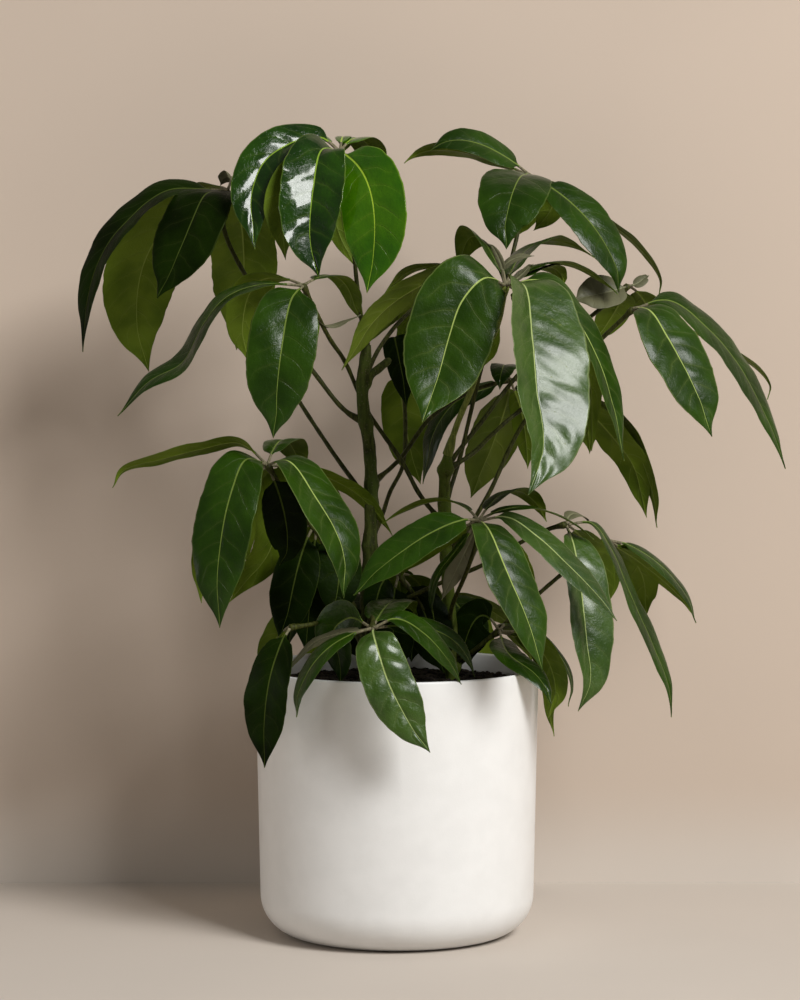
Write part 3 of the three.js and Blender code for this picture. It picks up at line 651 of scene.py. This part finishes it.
def leaf_patterns(shader):
    """What both sides of a blade share: midrib, side veins, the glow beside them, net and rim.

    The map of sizes is in millimetres, and so are the widths that are read from it.
    """
    _, along, across = shader.uv("blade")
    _, vein, strength = shader.uv("veins")
    size, _, from_midrib = shader.uv("size")
    midrib_width = shader.fade(along, 0.0, 1.0, 1.0, 0.25)
    inside = shader.maths("DIVIDE", shader.maths("ABSOLUTE", from_midrib), midrib_width)
    midrib = shader.fade(inside, 0.7, 1.15, 1.0, 0.0)
    wander = shader.times(shader.maths("SUBTRACT", shader.noise(45, 2), 0.5), 0.55)
    to_vein = shader.maths("PINGPONG", shader.plus(vein, wander), 0.5)
    side_veins = shader.times(shader.fade(to_vein, 0.012, 0.045, 1.0, 0.0), strength)
    glow = shader.times(shader.fade(to_vein, 0.0, 0.22, 1.0, 0.0), strength)
    net = shader.fade(shader.cells(0.28, size), 0.0, 0.14)
    rim = shader.fade(shader.maths("ABSOLUTE", across), 0.945, 0.985)
    return midrib, side_veins, glow, net, rim


def leaf_top(tone):
    """A blade's glossy side, where dust lies in clouds of fine specks and dulls it a little."""
    look = TONES[tone]
    coat, coat_roughness = look["coat"]
    shader = Shader(f"leaf_top_{tone}", Coat_Weight=coat, Coat_Roughness=coat_roughness,
                    Specular_IOR_Level=look["reflection"])
    midrib, side_veins, glow, net, rim = leaf_patterns(shader)
    green = shader.mix(shader.fade(shader.noise(22, 3), 0.35, 0.65), *look["top"])
    green = shader.tint(green, glow, 0.045, look["vein"])
    green = shader.tint(green, net, 0.18, look["top"][0])
    green = shader.tint(green, side_veins, 0.06, look["vein"])
    green = shader.tint(green, rim, 0.3, look["vein"])
    green = shader.mix(midrib, green, look["vein"])
    specks = shader.fade(shader.noise(1400, 2, rough=0.7), 0.52, 0.72)
    clouds = shader.fade(shader.noise(38, 4), 0.42, 0.72)
    dust = shader.times(shader.times(specks, clouds), look["dust"])
    green = shader.tint(green, dust, 0.45, DUST_COLOUR)
    roughness = shader.plus(shader.fade(clouds, 0, 1, 0.0, 0.07), look["roughness"])
    roughness = shader.plus(roughness, shader.times(dust, 0.25), clamp=True)
    height = shader.times(shader.plus(midrib, side_veins), -1.0)
    height = shader.plus(height, shader.times(net, 0.16))
    veined = shader.bump(height, 0.00028)
    puckered = shader.bump(shader.noise(80, 4, rough=0.6), look["pucker"], below=veined)
    return shader.finish(Base_Color=green, Roughness=roughness, Normal=puckered)


def leaf_under(tone):
    """A blade's matt and paler underside, where the veins stand out; its olive is made brighter still as
    painted light shining through.
    """
    look = TONES[tone]
    shader = Shader(f"leaf_under_{tone}", Specular_IOR_Level=0.12)
    midrib, side_veins, glow, net, _ = leaf_patterns(shader)
    olive = shader.mix(shader.fade(shader.noise(26, 3), 0.35, 0.65), *look["under"])
    olive = shader.tint(olive, glow, 0.1, look["under_vein"])
    olive = shader.tint(olive, side_veins, 0.2, look["under_vein"])
    olive = shader.mix(midrib, olive, look["under_vein"])
    height = shader.plus(side_veins, shader.times(net, -0.2))
    roughness = shader.fade(shader.noise(60, 3), 0.3, 0.7, 0.48, 0.62)
    veined = shader.bump(height, 0.0004)
    grained = shader.bump(shader.noise(900, 2), 0.00015, below=veined)
    return shader.finish(Base_Color=olive, Roughness=roughness, Normal=grained)


def stalk_material(name, dark, light):
    """Smooth stalks with fine lengthwise streaks and paler flecks."""
    shader = Shader(name, Specular_IOR_Level=0.12)
    streak = shader.noise(500, 3, shader.stretched((1, 1, 0.15)))
    colour = shader.mix(shader.fade(streak, 0.35, 0.68), dark, light)
    flecks = shader.fade(shader.noise(260, 2), 0.62, 0.72)
    colour = shader.tint(colour, flecks, 0.35, tuple(1.8 * c for c in light))
    rough = shader.fade(streak, 0.3, 0.7, 0.42, 0.6)
    return shader.finish(Base_Color=colour, Roughness=rough, Normal=shader.bump(streak, 0.0003))


def bark_material(name, dark, light, patch_green):
    """Woody skin: lengthwise streaks, green patches and small pale pores."""
    shader = Shader(name, Specular_IOR_Level=0.1)
    streak = shader.noise(260, 5, shader.stretched((1, 1, 0.22)), rough=0.62)
    colour = shader.mix(shader.fade(streak, 0.36, 0.64), dark, light)
    colour = shader.tint(colour, shader.fade(shader.noise(34, 3), 0.4, 0.62), 0.6, patch_green)
    pores = shader.fade(shader.cells(330, feature="F1"), 0.10, 0.28, 1.0, 0.0)
    colour = shader.tint(colour, pores, 0.5, (0.13, 0.11, 0.065))
    height = shader.plus(streak, shader.times(pores, 0.4))
    rough = shader.fade(streak, 0.3, 0.7, 0.55, 0.8)
    return shader.finish(Base_Color=colour, Roughness=rough, Normal=shader.bump(height, 0.0009))


def soil_material(name, dark, light):
    """Dark potting mix: fine grain, with darker clods."""
    shader = Shader(name, Specular_IOR_Level=0.2)
    grain = shader.noise(420, 5, rough=0.7)
    clods = shader.noise(90, 3)
    colour = shader.mix(shader.fade(grain, 0.38, 0.66), dark, light)
    colour = shader.mix(shader.fade(clods, 0.55, 0.75, 0.0, 0.5), colour, tuple(0.5 * c for c in dark))
    rough = shader.fade(grain, 0.3, 0.7, 0.8, 0.97)
    relief = shader.bump(shader.plus(grain, clods), 0.0016)
    return shader.finish(Base_Color=colour, Roughness=rough, Normal=relief)


def pot_material():
    """A smooth satin glaze with a faint unevenness in colour, gloss and surface, and few specks."""
    shader = Shader("pot_glaze", Specular_IOR_Level=0.45, Coat_Weight=0.12, Coat_Roughness=0.3)
    cloud = shader.noise(45, 4)
    colour = shader.mix(shader.fade(cloud, 0.3, 0.7), (0.74, 0.74, 0.732), (0.77, 0.77, 0.762))
    specks = shader.fade(shader.cells(240, feature="F1"), 0.03, 0.06, 1.0, 0.0)
    sparse = shader.fade(shader.noise(60, 1), 0.66, 0.70)
    colour = shader.tint(colour, shader.times(specks, sparse), 0.25, (0.42, 0.37, 0.30))
    rough = shader.fade(cloud, 0.3, 0.7, 0.36, 0.46)
    uneven = shader.bump(shader.noise(7, 2), 0.0012)
    grain = shader.bump(shader.noise(700, 2), 0.00006, below=uneven)
    return shader.finish(Base_Color=colour, Roughness=rough, Normal=grain)


def paper_material(name, floor, wall):
    """The studio's plain matt paper: the floor's colour, and above it the wall's warmer one."""
    shader = Shader(name, Roughness=0.9, Specular_IOR_Level=0.15)
    height = shader.parts(shader.places())[2]
    colour = shader.mix(shader.fade(height, 0.0, 0.12), floor, wall)
    shade = shader.fade(shader.noise(3, 2), 0.3, 0.7, 1.0, 0.97)
    return shader.finish(Base_Color=shader.mix(shade, (0, 0, 0), colour))


# ----- Leaflets -----


def outline(share, widest):
    """Half width of a blade at each share of its length, as a share of the widest."""
    shape = smooth_line([(along, wide, 0) for along, wide in BLADE_OUTLINE])
    moved = np.clip(share, 0, 1) ** (math.log(WIDEST_AT) / math.log(widest))
    return np.interp(moved, shape[:, 0], shape[:, 1])


def drawn(spec, key, dice):
    """A leaflet's own value or a usual one. It draws in both cases, to keep the later draws."""
    usual = dice.uniform(*USUAL[key])
    return spec.get(key, usual)


def hooked(line, dice):
    """A midrib's line with its end turned a little aside and down."""
    hook = [dice.uniform(-5, 5), dice.uniform(-3, 3), -1.5]
    return line + np.outer(smooth_step(HOOK_FROM, 1, np.linspace(0, 1, len(line))), hook)


def row_shares(stalk_share):
    """Where the rings of points lie along the midrib, closer together at the blade's ends."""
    even = np.linspace(0, 1, BLADE_ROWS + 1)
    blade_shares = 0.5 * even + 0.25 * (1 - np.cos(np.pi * even))
    stalk_shares = np.linspace(0.01, stalk_share, STALK_ROWS, endpoint=False)
    return np.concatenate([stalk_shares, stalk_share + (1 - stalk_share) * blade_shares * 0.998])


def frames(line, shares, spec, dice):
    """The centre of each ring, its way along the midrib, its upper side and its way across."""
    centres, ways = walk(line, shares)
    middle = walk(line, [0.5])[1][0]
    face = np.array(spec["face"], float)
    ups = carried(unit(face - face.dot(middle) * middle), middle, ways)
    ups = turn(ups, ways, (shares - 0.5) * math.radians(drawn(spec, "twist", dice)))
    return centres, ways, ups, np.cross(ups, ways)


def folded(half, spread, spec, dice):
    """The height of a blade's halves, which rise from the midrib's fold and fall to the edge."""
    fold = drawn(spec, "fold", dice)
    bulge = drawn(spec, "bulge", dice)
    return half * (fold * (np.sqrt(spread**2 + 0.008) - 0.09) - bulge * spread**2)


def edge_waves(along, length, dice):
    """One edge's waves: a slow one with a quicker one on it, from a little above the base."""
    rate = length / WAVE_SPACING
    phase, late = dice.uniform(0, FULL_TURN), dice.uniform(0, FULL_TURN)
    slow = np.sin(FULL_TURN * rate * along + phase)
    quick = 0.5 * np.sin(FULL_TURN * 1.9 * rate * along + late)
    return ((slow + quick) * smooth_step(0, 0.15, along))[:, None]


def vein_phases(along, spread, length, seed):
    """How many side veins lie between the base and each place, a whole number on a vein."""
    veins = max(4, round(length / VEIN_SPACING))
    swept = along[:, None] - VEIN_SWEEP * np.abs(spread) ** 1.35 * (1 - 0.3 * along[:, None])
    uneven = noise_grid(0.8 * along * veins, np.sign(spread) * 9, seed * 2.3)
    return veins * swept + 0.45 * uneven + 0.4 * (spread > 0)


def quilted(along, spread, phases, spec):
    """The low cushions between side veins."""
    shoulder = np.sin(np.pi * np.abs(spread) ** 0.8)
    cushions = (0.5 - 0.5 * np.cos(2 * np.pi * phases)) ** 0.7 * shoulder
    height = spec.get("quilt", QUILTING) * CUSHION_HEIGHT * spec["width"]
    return height * cushions * smooth_step(0.02, 0.2, along)[:, None]


def both_sides(top, under):
    """Rows of values round a leaflet: over its glossy side and back along its underside."""
    return np.concatenate([top, under[..., -2:0:-1]], axis=-1)


def blade_sections(x, lift, spread, along, columns, radius):
    """The outline of each ring: a thin folded blade, which turns into a round stalk at its base."""
    groove = MIDRIB_GROOVE * np.exp(-((x / GROOVE_WIDTH) ** 2)) * (1 - 0.7 * along[:, None])
    ridge = MIDRIB_RIDGE * np.exp(-((x / RIDGE_WIDTH) ** 2)) * (1 - 0.75 * along[:, None])
    thin = BLADE_THICKNESS / 2 * (1 - 0.9 * spread**6)
    top, under = lift + thin - groove, lift - thin - ridge
    round_x = radius[:, None] * np.sin(columns * math.pi / 2)
    round_y = radius[:, None] * np.cos(columns * math.pi / 2)
    flat = smooth_step(0.0, 0.07, along)[:, None]
    x = x * flat + round_x * (1 - flat)
    top = top * flat + round_y * (1 - flat)
    under = under * flat - round_y * (1 - flat)
    return both_sides(x, x)[..., None], both_sides(top, under)[..., None]


def face_kinds(count, around):
    """Which material each face of a leaflet has."""
    row, side = np.divmod(np.arange((count - 1) * around), around)
    kinds = np.where(side < BLADE_COLUMNS, TOP_FACE, UNDER_FACE)
    kinds[row < STALK_ROWS] = STALK_FACE
    return np.concatenate([kinds, np.tile([STALK_FACE, UNDER_FACE], around)])


def leaflet(name, hub, spec, seed):
    """A closed blade with a round stalk, a folded and quilted surface and a raised midrib below."""
    dice = random.Random(seed)
    through, tip = spec["through"], spec["tip"]
    line = arch(hub, through[0], tip) if len(through) == 1 else smooth_line([hub, *through, tip])
    length = path_length(line)
    stalk_share = min(spec.get("stalk", STALK_LENGTH), 0.3 * length) / length
    shares = row_shares(stalk_share)
    along = (shares - stalk_share) / (1 - stalk_share)
    line = hooked(line, dice)
    centres, ways, ups, acrosses = frames(line, shares, spec, dice)

    columns = np.linspace(-1, 1, BLADE_COLUMNS + 1)
    spread = np.sign(columns) * np.sin(math.pi / 2 * np.abs(columns) ** 1.6)
    half = spec["width"] / 2 * outline(along, spec.get("widest", WIDEST_AT))
    half = np.maximum(half, 0.3)[:, None]
    ragged = noise_grid(along * length / 8, np.sign(spread) * 5, seed * 1.7)
    x = half * spread * (1 + spec.get("lean", 0) * np.sign(spread) + RAGGEDNESS * ragged)

    lift = folded(half, spread, spec, dice)
    wave = drawn(spec, "wave", dice)
    for side in (-1, 1):
        edge = np.where(spread * side > 0, np.abs(spread) ** 2.5, 0)
        lift = lift + wave * half * edge * edge_waves(along, length, dice)
    phases = vein_phases(along, spread, length * (1 - stalk_share), seed)
    lift = lift + quilted(along, spread, phases, spec)
    bumps = noise_grid(along * length / 26, x / 13, seed * 3.7)
    lift = lift + UNEVENNESS * spec["width"] * bumps

    radius = np.interp(shares, [0, stalk_share * 0.4, stalk_share], [1.5, 1, 0.95]) * STALK_RADIUS
    ring_x, ring_y = blade_sections(x, lift, spread, along, columns, radius)
    rings = centres[:, None] + acrosses[:, None] * ring_x + ups[:, None] * ring_y
    points, faces = tube_mesh(rings, centres[0] - ways[0] * 0.5, line[-1])
    count, around = rings.shape[:2]
    materials = [*leaf_materials[spec["tone"]], stalk_pale]
    piece = new_piece(name, points, faces, materials, face_kinds(count, around))

    # Maps, worked out on the rings and then read at each corner of each face.
    ring_v = np.tile(both_sides(spread, spread), count)
    ring_along = np.repeat(along, around)
    strength = (1 - np.abs(ring_v) ** 2.2) * smooth_step(0.0, 0.06, ring_along)
    strength = np.where(ring_v == 0, 0, strength)
    layers = {
        "blade": (ring_along, ring_v),
        "veins": (both_sides(phases, phases).ravel(), strength),
        "size": (np.repeat(shares * length, around), ring_x.ravel()),
    }
    corners = np.array([corner for one in faces for corner in one])
    for layer, pair in layers.items():
        values = np.stack(pair, axis=1)
        ends = np.stack([values[:around].mean(axis=0), values[-around:].mean(axis=0)])
        add_map(piece.data, layer, np.concatenate([values, ends])[corners])
    add_map(piece.data, "OFBake", flat_layout(faces, corners, count, around))
    return piece


def flat_layout(faces, corners, count, around):
    """Both sides of a blade laid flat side by side, with no face over another."""
    face = np.repeat(np.arange(len(faces)), [len(one) for one in faces])
    quads = (count - 1) * around
    fan = np.clip((face - quads) // 2, 0, around - 1)
    at_end = corners >= count * around
    row = np.where(at_end, np.where(corners == count * around, -1, count), corners // around)
    side = np.where(at_end, fan + 0.5, corners % around)
    first_side = np.where(face < quads, face % around, fan)
    side = np.where((first_side == around - 1) & (side == 0), around, side)
    shown_on_top = first_side < around // 2
    across = np.where(shown_on_top, side, side - around / 2) / (around / 2)
    left = np.where(shown_on_top, 0.01, 0.51)
    return np.stack([left + 0.48 * across, 0.01 + 0.98 * (row + 1) / (count + 1)], axis=1)


# ----- Stalks and stems -----


def tube(name, line, radii, material, sides, roughen, seed):
    """A round stalk along a line. radii pairs shares of the length with radii."""
    steps = max(8, round(path_length(line) / TUBE_STEP))
    shares = np.linspace(0, 1, steps + 1)
    centres, ways = walk(line, shares)
    side = unit(np.cross(ways[0], (0.3, 1, 0.2)))
    angles = np.linspace(0, 2 * np.pi, sides, endpoint=False)
    stops, sizes = zip(*radii)
    rings = []
    for centre, way, radius in zip(centres, ways, np.interp(shares, stops, sizes)):
        side = unit(side - side.dot(way) * way)
        other = np.cross(way, side)
        ring = []
        for angle in angles:
            out = math.cos(angle) * side + math.sin(angle) * other
            grain = noise.noise(Vector((centre + out * radius) * 0.09) + Vector((seed, 0, 0)))
            ring.append(centre + out * radius * (1 + roughen * grain))
        rings.append(ring)
    ends = centres[0] - ways[0] * sizes[0] * 0.3, centres[-1] + ways[-1] * sizes[-1] * 0.5
    points, faces = tube_mesh(np.array(rings)[:, ::-1], *ends)
    return new_piece(name, points, faces, [material])


def petiole(name, points, material, radius, seed):
    """A leaf's stalk: swollen where it leaves the stem and where it ends in the hub."""
    line = smooth_line(points)
    length = path_length(line)
    near = min(0.2, STEM_SWELLING / length)
    far = 1 - min(0.2, HUB_SWELLING / length)
    radii = [
        (0, radius * 1.9), (near * 0.6, radius * 1.75), (near * 1.5, radius * 1.1), (0.5, radius),
        (far, radius * 1.05), (1 - (1 - far) * 0.45, radius * 1.5), (1 - (1 - far) * 0.12, HUB_RADIUS * 0.95),
        (1, HUB_RADIUS * 0.8),
    ]
    return tube(name, line, radii, material, PETIOLE_SIDES, roughen=0.12, seed=seed)


def stem(name, spec, joints):
    """A woody stem, thicker at its foot and knobbly where leaves join or have fallen."""
    line = smooth_line(spec["path"])
    shares = np.linspace(0, 1, 120)
    heights = walk(line, shares)[0][:, 2]
    sizes = spec["radius"] * (1.06 - 0.2 * shares)
    for height in joints:
        sizes = sizes + 1.5 * np.exp(-(((heights - height) / 5) ** 2))
    dice = random.Random(spec["seed"])
    for _ in range(6):
        scar = dice.uniform(SOIL_TOP, heights[-1])
        sizes = sizes + 0.7 * np.exp(-(((heights - scar) / 2.4) ** 2))
    sizes[-4:] *= np.linspace(0.95, 0.6, 4)
    radii = list(zip(shares, sizes))
    return tube(name, line, radii, barks[spec["bark"]], STEM_SIDES, roughen=0.14, seed=spec["seed"])


# ----- Pot and soil -----


def arc(centre, radius, start, end, steps):
    """Points of radius and height round part of a circle, in degrees."""
    angles = np.radians(np.linspace(start, end, steps + 1))
    return [(centre[0] + radius * math.cos(a), centre[1] + radius * math.sin(a)) for a in angles]


def turned(name, profile, sides, material):
    """A body of revolution from a profile that starts and ends on the axis."""
    around = np.linspace(0, 2 * np.pi, sides, endpoint=False)
    rings = np.array([[(r * math.cos(a), r * math.sin(a), z) for a in around] for r, z in profile[1:-1]])
    ends = [(0, 0, profile[0][1]), (0, 0, profile[-1][1])]
    points, faces = tube_mesh(rings[:, ::-1], *ends)
    return new_piece(name, points, faces, [material])


def pot_radius(share):
    """The pot's outer radius at a share of the way from its rounded bottom edge to its rim."""
    return POT["shoulder_radius"] + share * (POT["rim_radius"] - POT["shoulder_radius"])


def pot_shell():
    """The pot: out from under its middle, up its wall, over the lip and down again inside."""
    edge, wall, floor = POT["bottom_edge"], POT["wall"], POT["floor"]
    edge_centre = POT["shoulder_radius"] - edge
    lip = wall / 2
    wall_high = POT["height"] - lip

    def side_wall(shares, inset):
        return [(pot_radius(share) - inset, edge + share * (wall_high - edge)) for share in shares]

    profile = [(0, 0)] + [(radius, 0) for radius in (*POT_FLOOR_RINGS, edge_centre - 6)]
    profile += arc((edge_centre, edge), edge, -90, 0, 16)
    profile += side_wall(np.linspace(0.08, 0.94, 12), 0)
    profile += arc((POT["rim_radius"] - lip, wall_high), lip, 0, 180, 8)
    profile += side_wall(np.linspace(0.94, 0.08, 8), wall)
    profile += arc((edge_centre, floor + edge - wall), edge - wall, 0, -90, 8)
    profile += [(radius, floor) for radius in (*reversed(POT_FLOOR_RINGS), 0)]
    return turned("pot_shell", profile, POT_SIDES, pot_glaze)


def soil_radius():
    """The soil's radius at its top, just inside the pot's wall."""
    share = (SOIL_TOP - POT["bottom_edge"]) / (POT["height"] - POT["bottom_edge"])
    return pot_radius(share) - POT["wall"] - 0.6


def soil_height(x, y):
    """The crumbly surface of the potting mix at a place."""
    reach = min(1, math.hypot(x, y) / soil_radius())
    height = SOIL_TOP - 3 + SOIL_CROWN * (1 - reach**2)
    for size, rise in ((34, 2.2), (13, 1.6), (5, 1.3), (2.4, 0.7)):
        height += rise * noise.noise(Vector((x / size, y / size, size)))
    return height


def soil_surface():
    """The potting mix: a crumbly top on a plain plug that reaches down inside the pot."""
    edge = soil_radius()
    bottom = SOIL_TOP - SOIL_PLUG
    angles = np.linspace(0, 2 * np.pi, SOIL_SIDES, endpoint=False)
    rings = [[(edge * reach * math.cos(a), edge * reach * math.sin(a), bottom) for a in angles]
             for reach in (0.5, 0.97)]
    for circle in range(SOIL_CIRCLES, 0, -1):
        radius = edge * circle / SOIL_CIRCLES
        flat = [(radius * math.cos(a), radius * math.sin(a)) for a in angles]
        rings.append([(x, y, soil_height(x, y)) for x, y in flat])
    ends = (0, 0, bottom), (0, 0, soil_height(0, 0))
    points, faces = tube_mesh(np.array(rings)[:, ::-1], *ends)
    return new_piece("soil_surface", points, faces, [soil])


def lump(centre, sizes, dice):
    """Points and faces of one small irregular crumb."""
    rows, around = 4, 7
    tilt = dice.uniform(0, FULL_TURN)
    rings = []
    for row in range(1, rows):
        polar = math.pi * row / rows
        ring = []
        for side in range(around):
            angle = 2 * math.pi * side / around + tilt
            stretch = dice.uniform(0.8, 1.15)
            ring.append([centre[0] + stretch * sizes[0] * math.sin(polar) * math.cos(angle),
                         centre[1] + stretch * sizes[1] * math.sin(polar) * math.sin(angle),
                         centre[2] - sizes[2] * math.cos(polar)])
        rings.append(ring)
    ends = [centre[0], centre[1], centre[2] - sizes[2]], [centre[0], centre[1], centre[2] + sizes[2]]
    return tube_mesh(np.array(rings)[:, ::-1], *ends)


def soil_crumbs(name, count, smallest, largest, material, seed):
    """Loose crumbs that lie half sunk in the surface."""
    dice = random.Random(seed)
    points, faces = [], []
    for _ in range(count):
        reach = (soil_radius() - largest - 1) * math.sqrt(dice.random())
        angle = dice.uniform(0, 2 * math.pi)
        x, y = reach * math.cos(angle), reach * math.sin(angle)
        size = dice.uniform(smallest, largest)
        sizes = [size * dice.uniform(0.7, 1.3), size * dice.uniform(0.7, 1.3), size * dice.uniform(0.5, 0.9)]
        own_points, own_faces = lump((x, y, soil_height(x, y) + 0.15 * size), sizes, dice)
        faces += [tuple(corner + len(points) for corner in face) for face in own_faces]
        points += own_points.tolist()
    return new_piece(name, points, faces, [material])


# ----- The plant and its pot -----

leaf_materials = {tone: (leaf_top(tone), leaf_under(tone)) for tone in TONES}
stalk_pale = stalk_material("stalk_pale", (0.105, 0.100, 0.055), (0.20, 0.175, 0.11))
stalk_dark = stalk_material("stalk_dark", (0.019, 0.021, 0.004), (0.050, 0.056, 0.011))
# The crown's petiole is green, and its colours are lighter still, as painted light where leaves shade it.
stalk_green = stalk_material("stalk_green", (0.085, 0.110, 0.016), (0.165, 0.195, 0.040))
barks = {
    "old": bark_material("bark", (0.020, 0.025, 0.004), (0.056, 0.070, 0.014), (0.050, 0.078, 0.012)),
    "green": bark_material("bark_green", (0.038, 0.050, 0.006), (0.090, 0.115, 0.020),
                           (0.090, 0.140, 0.016)),
}
soil = soil_material("soil", (0.008, 0.0065, 0.005), (0.028, 0.022, 0.016))
crumb = soil_material("crumb", (0.014, 0.011, 0.008), (0.05, 0.038, 0.026))
pot_glaze = pot_material()


def place(piece, finish, *nodes):
    """A piece stands still with the body, and may stand for a CAD node. Its finish argument is not used."""
    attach(piece, "root")
    if nodes:
        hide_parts(*nodes)


place(pot_shell(), "pot_glaze", "pot")
place(soil_surface(), "potting_soil", "soil")
place(soil_crumbs("soil_crumbs_fine", 900, 0.9, 2.2, soil, 5), "potting_soil")
place(soil_crumbs("soil_crumbs_coarse", 220, 2.0, 4.2, crumb, 6), "potting_soil")

# The stems stand on either side of x = 0, and so do the places where leaves join them.
joined_at = [leaf_spec["petiole"][0] for leaf_spec in LEAVES.values()]
for side, spec in STEMS.items():
    joints = [height for x, _, height in joined_at if (x > 0) == (side == "right")]
    nodes = [spec["node"]] if "node" in spec else []
    place(stem(f"{side}_stem", spec, joints), "woody_stem", *nodes)

for number, (name, leaf_spec) in enumerate(LEAVES.items()):
    points, blades = leaf_spec["petiole"], leaf_spec["blades"]
    material = stalk_green if name == "crown" else stalk_dark
    radius = CROWN_PETIOLE_RADIUS if name == "crown" else PETIOLE_RADIUS
    nodes = [f"{name}_petiole"] if blades[0]["modelled"] else []
    place(petiole(f"{name}_stalk", points, material, radius, seed=number), "green_petiole", *nodes)
    for order, spec in enumerate(blades, 1):
        piece = leaflet(f"{name}_blade_{order}", points[-1], spec, seed=100 * number + order)
        nodes = [f"{name}_leaflet_{order}"] if spec["modelled"] else []
        place(piece, "leaf_blade", *nodes)

# ----- Studio -----


def backdrop():
    """A plain floor and a wall behind the plant, shown from their front only."""
    wide, front, wall, high = 3000, -2600, 272, 1700
    profile = [(front, 0), (wall, 0), (wall, high)]
    points = [(x, y, z) for y, z in profile for x in (-wide, wide)]
    faces = [(2 * k, 2 * k + 1, 2 * k + 3, 2 * k + 2) for k in range(len(profile) - 1)]
    piece = new_piece("backdrop", points, faces, [paper])
    piece.data.polygons.foreach_set("use_smooth", [False] * len(faces))
    return piece


def one_sided(material):
    """Lets light and sight through a sheet from behind, so that the back of the plant shows too."""
    tree = material.node_tree
    surface = tree.nodes["Principled BSDF"]
    output = tree.nodes["Material Output"]
    behind = tree.nodes.new("ShaderNodeNewGeometry").outputs["Backfacing"]
    clear = tree.nodes.new("ShaderNodeBsdfTransparent")
    pick = tree.nodes.new("ShaderNodeMixShader")
    tree.links.new(behind, pick.inputs[0])
    tree.links.new(surface.outputs[0], pick.inputs[1])
    tree.links.new(clear.outputs[0], pick.inputs[2])
    tree.links.new(pick.outputs[0], output.inputs["Surface"])


def area_light(name, place_at, aim, size, power, colour):
    light = bpy.data.lights.new(name, "AREA")
    light.shape = "RECTANGLE"
    light.size, light.size_y = size
    light.energy = power
    light.color = colour
    lamp = bpy.data.objects.new(name, light)
    lamp.location = place_at
    lamp.rotation_euler = (Vector(aim) - Vector(place_at)).to_track_quat("-Z", "Y").to_euler()
    bpy.context.scene.collection.objects.link(lamp)


paper = paper_material("paper", (0.57, 0.512, 0.455), (0.53, 0.44, 0.365))
one_sided(paper)
backdrop()

area_light("key", (2.55, -3.3, 3.5), (0, 0, 0.4), (1.8, 1.8), 298, DAYLIGHT)
area_light("fill", (2.1, -0.9, 1.3), (0, 0, 0.5), (0.9, 1.4), 3, DAYLIGHT)
area_light("low_fill", (-2.6, -0.5, 0.35), (0, 0, 0.3), (1.2, 1.2), 9, (1.0, 0.97, 0.93))

world = bpy.data.worlds.new("studio")
world.use_nodes = True
sky = world.node_tree.nodes["Background"].inputs
sky["Color"].default_value = (0.76, 0.73, 0.69, 1)
sky["Strength"].default_value = 0.26
bpy.context.scene.world = world

camera = bpy.data.cameras.new("camera")
camera.lens = CAMERA_LENS
camera.sensor_width = CAMERA_SENSOR
camera_object = bpy.data.objects.new("camera", camera)
camera_object.location = CAMERA_PLACE
camera_object.rotation_euler = (math.pi / 2 - CAMERA_PITCH, 0, 0)
bpy.context.scene.collection.objects.link(camera_object)
bpy.context.scene.camera = camera_object

bpy.context.scene.view_settings.view_transform = "Standard"
